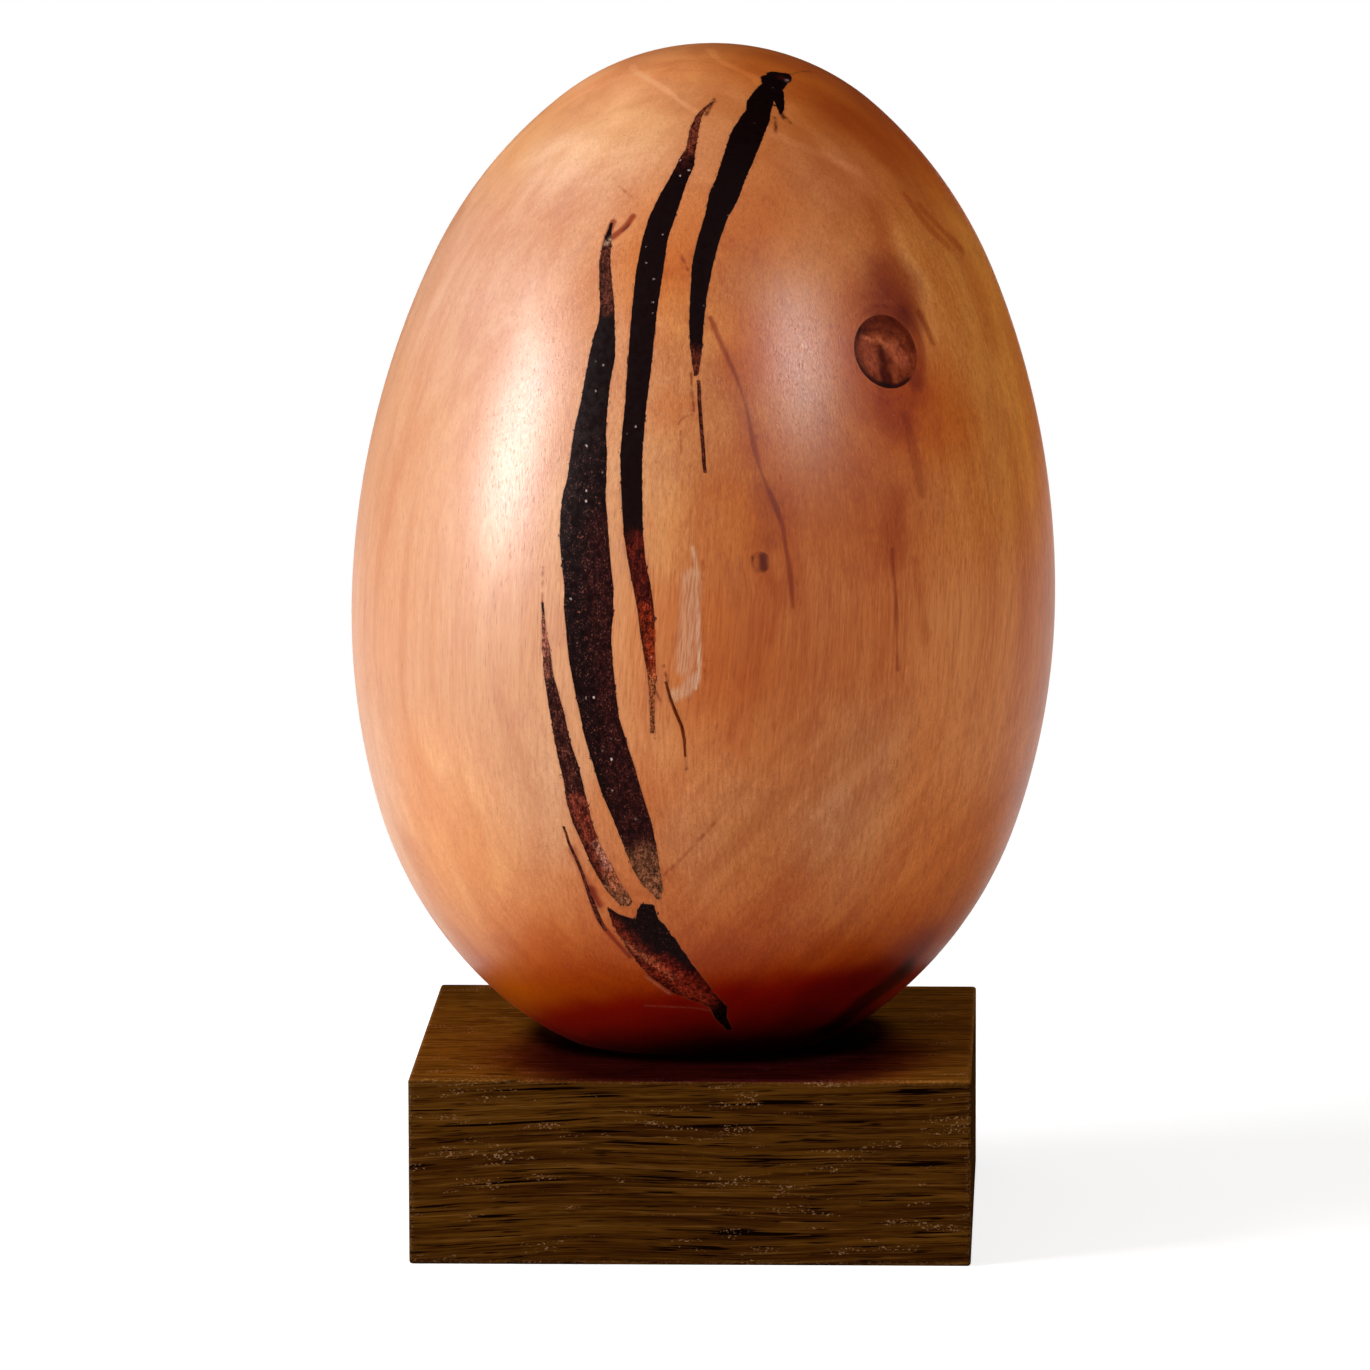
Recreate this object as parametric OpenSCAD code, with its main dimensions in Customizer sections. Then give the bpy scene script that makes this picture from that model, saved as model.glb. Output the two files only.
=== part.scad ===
// Turned wooden egg with dark gum veins, standing on a pin in the dished top of an oak block.
// Z is up, zero is the underside of the block, and the side with the veins faces -Y.
// The origin lies under the centre of the ball that the egg's foot is part of.

/* [Egg] */
// Greatest diameter of the egg
egg_d = 96.8; // [80:0.1:110]
// Radius of the flank above the widest line
upper_flank_r = 116.6; // [100:0.1:140]
// Slope at which the upper flank runs into the shoulder, in degrees from upright
upper_flank_end = 23.8; // [18:0.1:28]
// Radius of the shoulder between the upper flank and the crown
shoulder_r = 61.6; // [54:0.1:68]
// Slope at which the shoulder runs into the crown, in degrees from upright
shoulder_end = 50.2; // [44:0.1:56]
// Radius of the flank below the widest line
lower_flank_r = 96.4; // [80:0.1:120]
// Slope at which the lower flank runs into the haunch, in degrees from upright
lower_flank_end = 17.2; // [12:0.1:22]
// Radius of the haunch between the lower flank and the foot
haunch_r = 55.5; // [50:0.1:62]
// Slope at which the haunch runs into the foot, in degrees from upright
haunch_end = 48.8; // [42:0.1:54]
// Lean of the egg towards +X, in degrees
egg_lean = 1.87; // [0:0.01:3]

/* [Veins] */
// Depth of the main vein below the egg's surface
main_depth = 9; // [5:0.5:12]
// Depth of the middle vein
middle_depth = 7; // [4:0.5:10]
// Depth of the forked vein at the crown
crown_depth = 6; // [4:0.5:8]
// Depth of the reddish vein at the left
left_depth = 6; // [4:0.5:8]
// Depth of the forked vein at the foot
foot_depth = 7; // [4:0.5:9]
// Depth of the hairline vein under the crown's vein
hairline_depth = 2.5; // [1.5:0.1:4]
// Depth of the narrow crack at the lower left
crack_depth = 3.5; // [2:0.1:5]
// Depth of the open split, which holds no gum
split_depth = 1.4; // [0.8:0.1:2]

/* [Knots] */
// Diameter of the large knot at the surface, with its bark
knot_d = 10.2; // [8:0.1:12]
// Diameter of the large knot at its root
knot_root_d = 4.6; // [3:0.1:6]
// Length of the large knot from the surface to its root
knot_depth = 24; // [16:0.5:30]
// Thickness of the bark round the large knot
bark_t = 0.9; // [0.6:0.1:1.4]
// Diameter of the pin knot at the surface
pin_knot_d = 3; // [2:0.1:4]
// Diameter of the pin knot at its root
pin_knot_root_d = 1.4; // [0.8:0.1:2]
// Length of the pin knot
pin_knot_depth = 12; // [8:0.5:16]

/* [Block] */
// Width of the block, along X
block_w = 76; // [66:0.5:100]
// Depth of the block, along Y
block_d = 76; // [66:0.5:100]
// Height of the block
block_h = 25.5; // [22:0.5:38]
// Width of the bevel that breaks each edge of the block
block_bevel = 0.3; // [0.2:0.1:1.5]
// Depth that the egg's foot stands below the block's top
foot_sink = 4.6; // [3:0.1:6]
// Gap between the egg's foot and the dish
seat_gap = 0.3; // [0.2:0.05:0.5]

/* [Pin] */
// Diameter of the steel pin
pin_d = 6; // [4:0.5:8]
// Length of the pin inside the block, below the dish
pin_in_block = 14; // [10:0.5:16]
// Length of the pin inside the egg
pin_in_egg = 22; // [14:0.5:30]
// Bevel at each end of the pin
pin_bevel = 0.6; // [0.3:0.1:1]
// Clearance round the pin, on the radius
pin_clearance = 0.05; // [0.02:0.01:0.1]
// Room left above the pin in the egg's bore
bore_headroom = 2; // [1:0.5:4]

/* [Hidden] */
// Facets of the round faces
$fn = 256;
// Greatest turn of the egg's outline from one point to the next, in degrees
arc_step = 2.5;
// Distance that a cutting shape runs past the surface it cuts
overrun = 2;

egg_r = egg_d / 2;

// The egg's outline, one arc after another away from its widest line.
// Each run holds two radii and the slopes where they end, and the last radius ends on the axis.
upper_runs = [[upper_flank_r, upper_flank_end], [shoulder_r, shoulder_end]];
lower_runs = [[lower_flank_r, lower_flank_end], [haunch_r, haunch_end]];

// Centre of the run's second arc, from the centre of the egg's widest line
function second_centre(runs) = [
    egg_r - runs[0][0] + (runs[0][0] - runs[1][0]) * cos(runs[0][1]),
    (runs[0][0] - runs[1][0]) * sin(runs[0][1])
];
// Radius of the ball that ends a run on the axis
function ball_radius(runs) = runs[1][0] + second_centre(runs)[0] / cos(runs[1][1]);
// Height of that ball's centre above the widest line
function ball_centre(runs) =
    second_centre(runs)[1] + (runs[1][0] - ball_radius(runs)) * sin(runs[1][1]);

crown_r = ball_radius(upper_runs);
foot_r = ball_radius(lower_runs);

// Heights in the egg, from the lowest point of its foot
widest_z = foot_r + ball_centre(lower_runs);
egg_h = widest_z + ball_centre(upper_runs) + crown_r;

// An arc is its radius, its centre's distance from the axis, its centre's height above the widest
// line, and the slopes between which it runs
function run_arcs(runs) = [
    [runs[0][0], egg_r - runs[0][0], 0, 0, runs[0][1]],
    [runs[1][0], second_centre(runs)[0], second_centre(runs)[1], runs[0][1], runs[1][1]],
    [ball_radius(runs), 0, ball_centre(runs), runs[1][1], 90]
];

// The arc of a run that a height above the widest line lies on
function arc_at(runs, z) = [for (arc = run_arcs(runs)) if (z <= arc[2] + arc[0] * sin(arc[4])) arc][0];
// Slope of the surface at a height above the widest line
function run_slope(runs, z) = let (arc = arc_at(runs, z)) asin((z - arc[2]) / arc[0]);
// Distance of the surface from the axis at a height above the widest line
function run_radius(runs, z) = let (arc = arc_at(runs, z)) arc[1] + arc[0] * cos(run_slope(runs, z));

// Distance of the egg's surface from its axis, at a height above its lowest point
function radius_at(z) =
    z < widest_z ? run_radius(lower_runs, widest_z - z) : run_radius(upper_runs, z - widest_z);
// Slope of the surface at that height, in degrees from upright and positive towards the crown
function slope_at(z) =
    z < widest_z ? -run_slope(lower_runs, widest_z - z) : run_slope(upper_runs, z - widest_z);

// Direction of an angle round the egg, counted from -Y towards +X, with a tilt upwards
function direction(angle, tilt) = [sin(angle) * cos(tilt), -cos(angle) * cos(tilt), sin(tilt)];
// Point of the egg's surface
function surface_point(z, angle) =
    radius_at(z) * direction(angle, 0) + [0, 0, z];
function surface_normal(z, angle) = direction(angle, slope_at(z));

// Veins. Each row is a share of the egg's height and the angles of the vein's left and right edge.
// A vein is the union of its limbs, from the top down.
main_vein_shares = [[
    [0.845, -22.4, -22], [0.825, -22.9, -21], [0.81, -22.8, -20.3], [0.79, -21.7, -18.9],
    [0.77, -20.6, -17.6], [0.755, -20.3, -17], [0.74, -20.8, -16.4], [0.725, -21, -16],
    [0.7, -21.2, -16.3], [0.68, -21.3, -16.2], [0.655, -21.8, -16], [0.635, -21.9, -15.4],
    [0.61, -22, -15.1], [0.595, -22.5, -15], [0.575, -22.6, -14.4], [0.555, -22.4, -13.9],
    [0.53, -21.7, -13.3], [0.51, -21, -12.7], [0.49, -20.9, -12.6], [0.465, -20.3, -12.8],
    [0.44, -19.7, -12.4], [0.415, -18.8, -11.9], [0.39, -17.8, -11.3], [0.365, -16.9, -10],
    [0.34, -15.6, -8.6], [0.315, -14.4, -7.4], [0.285, -12.3, -5.8], [0.265, -11, -5.1],
    [0.24, -9.4, -4.5], [0.225, -7.9, -4.1], [0.21, -5.2, -4.5]
]];
middle_vein_shares = [[
    [0.956, -0.6, 0.5], [0.95, -3.9, -2.5], [0.943, -6.1, -4], [0.93, -7.4, -4.4],
    [0.915, -7.4, -4.5], [0.9, -9.2, -4.4], [0.885, -10.7, -5.8], [0.87, -12.3, -6.6],
    [0.85, -13.7, -7.7], [0.835, -14.1, -8.5], [0.8, -14.3, -8.7], [0.77, -14, -9],
    [0.725, -13.5, -9], [0.68, -13.1, -9.3], [0.635, -13.1, -9.3], [0.61, -12.6, -9],
    [0.565, -11.6, -8.4], [0.54, -10.7, -7.8], [0.515, -9.6, -6.7], [0.49, -8.6, -6],
    [0.47, -8.1, -5.7], [0.455, -7.6, -5.7], [0.425, -6.6, -5.4], [0.405, -6.3, -5.5],
    [0.375, -6.1, -5.6]
]];
crown_vein_shares = [[
    [0.981, 33, 37], [0.979, 29.5, 45], [0.977, 24.5, 44], [0.974, 23.5, 41.5],
    [0.971, 22.5, 36.6], [0.966, 18, 31.5], [0.957, 13.2, 24.4], [0.949, 12, 21.7],
    [0.941, 9.1, 20.1], [0.929, 6, 16.8], [0.909, 3.6, 12.7], [0.89, 1.8, 9.5],
    [0.875, 0.1, 7.7], [0.853, -0.8, 4.5], [0.833, -2, 2.8], [0.81, -2.8, 1.5],
    [0.785, -2.7, 0.6], [0.76, -2.6, 0.2], [0.738, -2.2, 0.1], [0.721, -1.6, -0.2],
    [0.711, -1.2, -0.7]
], [
    [0.966, 25, 31], [0.958, 24.6, 29.3], [0.951, 24.6, 27.5], [0.946, 24.6, 25.4]
]];
left_vein_shares = [[
    [0.492, -24.9, -24.5], [0.48, -24.6, -24.2], [0.465, -24.5, -23.8], [0.448, -24.4, -23],
    [0.424, -24, -22.4], [0.41, -23.6, -21.6], [0.388, -23, -20.5], [0.363, -22.3, -19.6],
    [0.34, -21.6, -18.3], [0.32, -20.9, -17.5], [0.3, -20.6, -16.8], [0.282, -19.8, -16.2],
    [0.264, -18.5, -15.2], [0.251, -17.6, -14.1], [0.239, -16.8, -12.9], [0.227, -15.7, -12],
    [0.214, -14.3, -10.5], [0.206, -12.9, -9.8], [0.201, -12.2, -10.5]
]];
foot_vein_shares = [[
    [0.188, -14.3, -4.9], [0.173, -13.7, -2.6], [0.157, -12.1, -0.4], [0.142, -10.2, 1.7],
    [0.127, -7.8, 4.2], [0.11, -2.8, 7.1], [0.102, 1.8, 9], [0.094, 6.6, 10.9],
    [0.082, 8.3, 11.4], [0.067, 12.6, 14.1]
], [
    [0.204, -8.2, -6], [0.197, -9, -5.4], [0.188, -9.3, -4.9], [0.176, -9.5, -4]
], [
    [0.197, -14.7, -14.2], [0.192, -14.5, -12.8], [0.188, -14.3, -10], [0.176, -13.5, -9]
]];
hairline_vein_shares = [[
    [0.707, -0.7, 0], [0.689, -0.4, 0.3], [0.671, 0, 0.7], [0.644, 0.6, 1.3],
    [0.622, 1.1, 1.7]
]];
crack_fill_shares = [[
    [0.277, -21.8, -21.3], [0.26, -21.1, -20.5], [0.243, -19.9, -19.2], [0.229, -19.1, -18.4],
    [0.215, -18.6, -17.8], [0.199, -18, -16.9], [0.184, -17.2, -16.1], [0.173, -16.1, -15.4]
]];
split_shares = [[
    [0.425, -4.1, -3.6], [0.41, -3.4, -2.8], [0.396, -2.5, -1.8], [0.382, -1.4, -0.7],
    [0.369, -0.9, -0.3], [0.353, -0.6, -0.2]
]];
// Width of a vein's root as a share of its mouth
root_share = 0.3;
// Depth at a vein's two ends as a share of its greatest depth
tip_share = 0.4;

// Places of the knots: share of the egg's height, and angle
knot_place_shares = [0.733, 36.3];
pin_knot_place_shares = [0.54, 10.6];

// Block, dish and pin, from the underside of the block
foot_z = block_h - foot_sink;
foot_centre = [0, 0, foot_z + foot_r];
dish_r = foot_r + seat_gap;
pin_bottom = foot_z - seat_gap - pin_in_block;
pin_top = foot_z + pin_in_egg;
bore_r = pin_d / 2 + pin_clearance;

// Four corners of a vein's section at one row: outer left, outer right, inner right, inner left
function vein_section(row, depth) = let (
    z = row[0] * egg_h,
    middle = (row[1] + row[2]) / 2,
    root = surface_point(z, middle) - depth * surface_normal(z, middle),
    inner = [for (angle = [row[1], row[2]])
        root + root_share * (surface_point(z, angle) - surface_point(z, middle))],
    outer = [for (side = [0, 1]) let (mouth = surface_point(z, row[1 + side]))
        mouth + (mouth - inner[side]) * overrun / depth]
) [outer[0], outer[1], inner[1], inner[0]];

// Wedge that a limb of a vein takes out of the egg, deepest halfway along
module limb(rows, depth) {
    last = len(rows) - 1;
    sections = [for (i = [0:last])
        vein_section(rows[i], depth * (tip_share + (1 - tip_share) * sin(180 * i / last)))];
    corners = len(sections[0]);
    points = [for (section = sections) each section];
    sides = [for (i = [0:last - 1], k = [0:corners - 1]) let (
        here = i * corners + k,
        beside = i * corners + (k + 1) % corners
    ) each [
        [here, beside, beside + corners],
        [here, beside + corners, here + corners]
    ]];
    first_cap = [[0, 2, 1], [0, 3, 2]];
    last_cap = [for (face = first_cap) [for (k = [2, 1, 0]) last * corners + face[k]]];
    polyhedron(points, concat(sides, first_cap, last_cap));
}

module fissure(limbs, depth) {
    for (rows = limbs)
        limb(rows, depth);
}

// Points of one run of the outline, from the widest line to the axis, which it ends on
function run_points(runs, way) = [for (arc = run_arcs(runs)) let (
    steps = ceil((arc[4] - arc[3]) / arc_step)
) for (i = [1:steps]) let (
    slope = arc[3] + (arc[4] - arc[3]) * i / steps
) [
    slope < 90 ? arc[1] + arc[0] * cos(slope) : 0,
    widest_z + way * (arc[2] + arc[0] * sin(slope))
]];

module egg_blank() {
    foot_up = run_points(lower_runs, -1);
    last = len(foot_up) - 1;
    rotate_extrude()
        polygon(concat(
            [for (i = [last:-1:0]) foot_up[i]],
            [[egg_r, widest_z]],
            run_points(upper_runs, 1)
        ));
}

// Puts what is drawn in the egg's own frame in its dish
module in_dish() {
    translate(foot_centre)
        rotate([0, egg_lean, 0])
            translate([0, 0, -foot_r])
                children();
}

// Puts what is drawn along +Z at a place of the egg's surface, with +Z outwards
module at_place(place) {
    z = place[0] * egg_h;
    translate(surface_point(z, place[1]))
        rotate([0, 0, place[1] - 90])
            rotate([0, 90 - slope_at(z), 0])
                children();
}

// Tapered plug of a knot, from its root to past the surface
module plug(place, mouth_d, root_d, depth, wall = 0) {
    taper = (mouth_d - root_d) / depth;
    at_place(place)
        translate([0, 0, -depth])
            cylinder(
                d1 = root_d - 2 * wall,
                d2 = mouth_d + taper * overrun - 2 * wall,
                h = depth + overrun
            );
}

module knot_plug(wall = 0) {
    plug(knot_place_shares, knot_d, knot_root_d, knot_depth, wall);
}

module pin_knot_plug() {
    plug(pin_knot_place_shares, pin_knot_d, pin_knot_root_d, pin_knot_depth);
}

// Bore for the pin, upright in the leaning egg
module egg_bore() {
    translate([0, 0, foot_z - overrun])
        cylinder(r = bore_r, h = overrun + pin_in_egg + bore_headroom);
}

module egg_body() {
    color("peru") difference() {
        in_dish() difference() {
            egg_blank();
            fissure(main_vein_shares, main_depth);
            fissure(middle_vein_shares, middle_depth);
            fissure(crown_vein_shares, crown_depth);
            fissure(left_vein_shares, left_depth);
            fissure(foot_vein_shares, foot_depth);
            fissure(hairline_vein_shares, hairline_depth);
            fissure(crack_fill_shares, crack_depth);
            fissure(split_shares, split_depth);
            knot_plug();
            pin_knot_plug();
        }
        egg_bore();
    }
}

// What fills a fissure, flush with the egg's surface
module vein(limbs, depth) {
    in_dish() intersection() {
        egg_blank();
        fissure(limbs, depth);
    }
}

module main_vein() {
    color([0.12, 0.04, 0.04]) vein(main_vein_shares, main_depth);
}

module middle_vein() {
    color([0.16, 0.05, 0.04]) vein(middle_vein_shares, middle_depth);
}

module crown_vein() {
    color([0.12, 0.04, 0.04]) vein(crown_vein_shares, crown_depth);
}

module left_vein() {
    color([0.38, 0.13, 0.08]) vein(left_vein_shares, left_depth);
}

module foot_vein() {
    color([0.2, 0.06, 0.05]) vein(foot_vein_shares, foot_depth);
}

module hairline_vein() {
    color([0.2, 0.06, 0.05]) vein(hairline_vein_shares, hairline_depth);
}

module crack_fill() {
    color([0.3, 0.1, 0.06]) vein(crack_fill_shares, crack_depth);
}

module knot() {
    color([0.5, 0.22, 0.13]) in_dish() intersection() {
        egg_blank();
        knot_plug(bark_t);
    }
}

module knot_bark() {
    color([0.25, 0.05, 0.02]) in_dish() intersection() {
        egg_blank();
        difference() {
            knot_plug();
            knot_plug(bark_t);
        }
    }
}

module pin_knot() {
    color([0.35, 0.08, 0.03]) in_dish() intersection() {
        egg_blank();
        pin_knot_plug();
    }
}

// Rectangle centred on zero with its corners cut off
module bevelled_rectangle(size, bevel) {
    half = size / 2;
    polygon([
        [half[0], half[1] - bevel], [half[0] - bevel, half[1]],
        [bevel - half[0], half[1]], [-half[0], half[1] - bevel],
        [-half[0], bevel - half[1]], [bevel - half[0], -half[1]],
        [half[0] - bevel, -half[1]], [half[0], bevel - half[1]]
    ]);
}

// Block with every edge bevelled, centred on zero
module bevelled_block(size, bevel) {
    intersection() {
        linear_extrude(size[2], center = true)
            bevelled_rectangle([size[0], size[1]], bevel);
        rotate([90, 0, 0])
            linear_extrude(size[1], center = true)
                bevelled_rectangle([size[0], size[2]], bevel);
        rotate([90, 0, 90])
            linear_extrude(size[0], center = true)
                bevelled_rectangle([size[1], size[2]], bevel);
    }
}

module base_block() {
    color([0.36, 0.27, 0.14]) difference() {
        translate([0, 0, block_h / 2])
            bevelled_block([block_w, block_d, block_h], block_bevel);
        translate(foot_centre)
            sphere(r = dish_r);
        translate([0, 0, pin_bottom])
            cylinder(r = bore_r, h = pin_in_block + overrun);
    }
}

module pin() {
    color("silver") translate([0, 0, pin_bottom]) rotate_extrude()
        polygon([
            [0, 0], [pin_d / 2 - pin_bevel, 0], [pin_d / 2, pin_bevel],
            [pin_d / 2, pin_top - pin_bottom - pin_bevel],
            [pin_d / 2 - pin_bevel, pin_top - pin_bottom], [0, pin_top - pin_bottom]
        ]);
}

egg_body();
main_vein();
middle_vein();
crown_vein();
left_vein();
foot_vein();
hairline_vein();
crack_fill();
knot();
knot_bark();
pin_knot();
base_block();
pin();
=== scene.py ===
# A turned wooden egg with dark gum veins and two knots, on a block of dark oak.

import math

import bmesh
import bpy
import numpy as np
from mathutils import Matrix, Vector, noise
from mathutils.kdtree import KDTree


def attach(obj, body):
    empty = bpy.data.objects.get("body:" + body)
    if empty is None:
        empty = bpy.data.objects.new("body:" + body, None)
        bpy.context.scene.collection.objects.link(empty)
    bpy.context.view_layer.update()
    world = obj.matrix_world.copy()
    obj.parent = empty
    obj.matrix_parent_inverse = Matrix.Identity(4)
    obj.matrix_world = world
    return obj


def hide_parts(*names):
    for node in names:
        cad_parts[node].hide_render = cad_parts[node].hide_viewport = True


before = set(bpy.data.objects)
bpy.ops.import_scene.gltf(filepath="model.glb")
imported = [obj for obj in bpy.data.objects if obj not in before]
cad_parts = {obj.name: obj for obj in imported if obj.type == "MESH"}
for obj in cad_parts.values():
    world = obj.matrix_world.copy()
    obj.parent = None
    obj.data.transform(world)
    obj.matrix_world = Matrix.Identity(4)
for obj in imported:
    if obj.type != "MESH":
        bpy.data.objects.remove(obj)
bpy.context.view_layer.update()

MM = 0.001

# The egg's form, in mm and degrees, as in the part's source
EGG_R = 48.4
UPPER_FLANK = (116.6, 23.8)
SHOULDER = (61.6, 50.2)
LOWER_FLANK = (96.4, 17.2)
HAUNCH = (55.5, 48.8)
EGG_LEAN = 1.87
BLOCK_W = 76.0
BLOCK_H = 25.5
FOOT_SINK = 4.6
PIN_BORE_R = 3.05
KNOT_PLACE = (0.733, 36.3)
KNOT_R = 5.1
PIN_KNOT_PLACE = (0.54, 10.6)
PIN_KNOT_R = 1.5

# Spacing of the egg's points, in mm, on plain wood, beside a vein, along a thin mark and on a knot
WIDE_SPACING = 1.5
FINE_SPACING = 0.6
FINE_REACH = 2.2
THIN_SPACING = 0.3
THIN_REACH = 0.8
KNOT_SPACING = 0.35
MOST_SPLITS = 9
# Half width and fade together of a mark that counts as thin, as fine, and as ragged
THIN_MARK = 0.9
FINE_MARK = 2.2
RAGGED_MARK = 0.5
# A face is skin when its centre is this near the egg's surface and it faces the same way
SKIN_REACH = 0.12
SKIN_FACING = 0.9
# The CAD's round faces have only their corners on the true form, so the skin lies this far inside it
SKIN_INSET = 0.03
RIM_STEP = 0.4
EDGE_REACH = 6.0
GRAIN_WAVE = 2.2
GRAIN_WAVE_LENGTH = 38
# Width of the wear on the block's corners, in mm, and distance of the lamps, in metres
WEAR = 0.14
LAMP_DISTANCE = 1.0


# The egg's outline
def arcs_to_axis(flank, second):
    """Arcs from the widest line to the axis: radius, centre's distance and height, slope at the end."""
    flank_r, flank_end = flank[0], math.radians(flank[1])
    second_r, second_end = second[0], math.radians(second[1])
    out = EGG_R - flank_r + (flank_r - second_r) * math.cos(flank_end)
    up = (flank_r - second_r) * math.sin(flank_end)
    ball_r = second_r + out / math.cos(second_end)
    ball_up = up + (second_r - ball_r) * math.sin(second_end)
    return [
        (flank_r, EGG_R - flank_r, 0.0, flank_end),
        (second_r, out, up, second_end),
        (ball_r, 0.0, ball_up, math.radians(90)),
    ]


UPPER_ARCS = arcs_to_axis(UPPER_FLANK, SHOULDER)
LOWER_ARCS = arcs_to_axis(LOWER_FLANK, HAUNCH)
FOOT_R = LOWER_ARCS[2][0]
WIDEST_Z = FOOT_R + LOWER_ARCS[2][2]
EGG_H = WIDEST_Z + UPPER_ARCS[2][2] + UPPER_ARCS[2][0]
FOOT_CENTRE = np.array([0.0, 0.0, BLOCK_H - FOOT_SINK + FOOT_R])


def from_widest(arcs, height):
    """Radius and slope of the outline at heights away from the widest line."""
    slope = np.zeros_like(height)
    radius = np.zeros_like(height)
    undone = np.ones(height.shape, dtype=bool)
    for arc_r, centre_out, centre_up, end in arcs:
        here = undone & (height <= centre_up + arc_r * math.sin(end) + 1e-9)
        angle = np.arcsin(np.clip((height - centre_up) / arc_r, -1, 1))
        slope = np.where(here, angle, slope)
        radius = np.where(here, centre_out + arc_r * np.cos(angle), radius)
        undone &= ~here
    slope = np.where(undone, math.radians(90), slope)
    return radius, slope


def outline(z):
    """Radius and slope of the egg's surface at heights above its foot, in mm."""
    above_r, above_slope = from_widest(UPPER_ARCS, np.maximum(z - WIDEST_Z, 0))
    below_r, below_slope = from_widest(LOWER_ARCS, np.maximum(WIDEST_Z - z, 0))
    upper = z >= WIDEST_Z
    return np.where(upper, above_r, below_r), np.where(upper, above_slope, -below_slope)


def turn_about_y(points, degrees):
    angle = math.radians(degrees)
    c, s = math.cos(angle), math.sin(angle)
    x, y, z = points[..., 0], points[..., 1], points[..., 2]
    return np.stack([x * c + z * s, y, z * c - x * s], axis=-1)


def to_egg(points):
    """From the scene's metres to the egg's own frame in mm, foot at zero and upright."""
    return turn_about_y(points / MM - FOOT_CENTRE, -EGG_LEAN) + np.array([0, 0, FOOT_R])


def from_egg(points):
    return (turn_about_y(points - np.array([0, 0, FOOT_R]), EGG_LEAN) + FOOT_CENTRE) * MM


def skin_offset(points):
    """Distance of points in the egg's frame from its surface, and the surface's direction there."""
    x, y, z = points[..., 0], points[..., 1], points[..., 2]
    out = np.hypot(x, y)
    radius, slope = outline(np.clip(z, 0, EGG_H))
    away = np.where(out > 1e-6, out, 1)
    normal = np.stack([x / away * np.cos(slope), y / away * np.cos(slope), np.sin(slope)], axis=-1)
    near_pole = (z > EGG_H - 1.0) | (z < 1.0)
    ball_r = np.where(z > WIDEST_Z, UPPER_ARCS[2][0], FOOT_R)
    ball_z = np.where(z > WIDEST_Z, EGG_H - ball_r, FOOT_R)
    from_ball = points - np.stack([np.zeros_like(z), np.zeros_like(z), ball_z], axis=-1)
    length = np.linalg.norm(from_ball, axis=-1)
    offset = np.where(near_pole, length - ball_r, (out - radius) * np.cos(slope))
    pole_normal = from_ball / np.maximum(length, 1e-6)[..., None]
    return offset, np.where(near_pole[..., None], pole_normal, normal)


def direction(angle, tilt=0.0):
    """Direction of an angle round the egg, from the veined side to the right, with a tilt upwards."""
    a, t = math.radians(angle), math.radians(tilt)
    return np.array([math.sin(a) * math.cos(t), -math.cos(a) * math.cos(t), math.sin(t)])


def on_egg(share, angle):
    """Point of the surface at a share of the egg's height and an angle, in the egg's frame."""
    z = share * EGG_H
    radius, slope = outline(np.array([z]))
    return radius[0] * direction(angle) + np.array([0, 0, z])


def facing(share, angle):
    radius, slope = outline(np.array([share * EGG_H]))
    return direction(angle, math.degrees(slope[0]))


# Colours that marks multiply the wood by
RED_BROWN = (0.7, 0.42, 0.26)
DARK_RED = (0.42, 0.13, 0.06)
NEARLY_BLACK = (0.1, 0.03, 0.03)
THREAD = (0.22, 0.08, 0.06)
PALE = (1.15, 1.32, 1.6)

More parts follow.
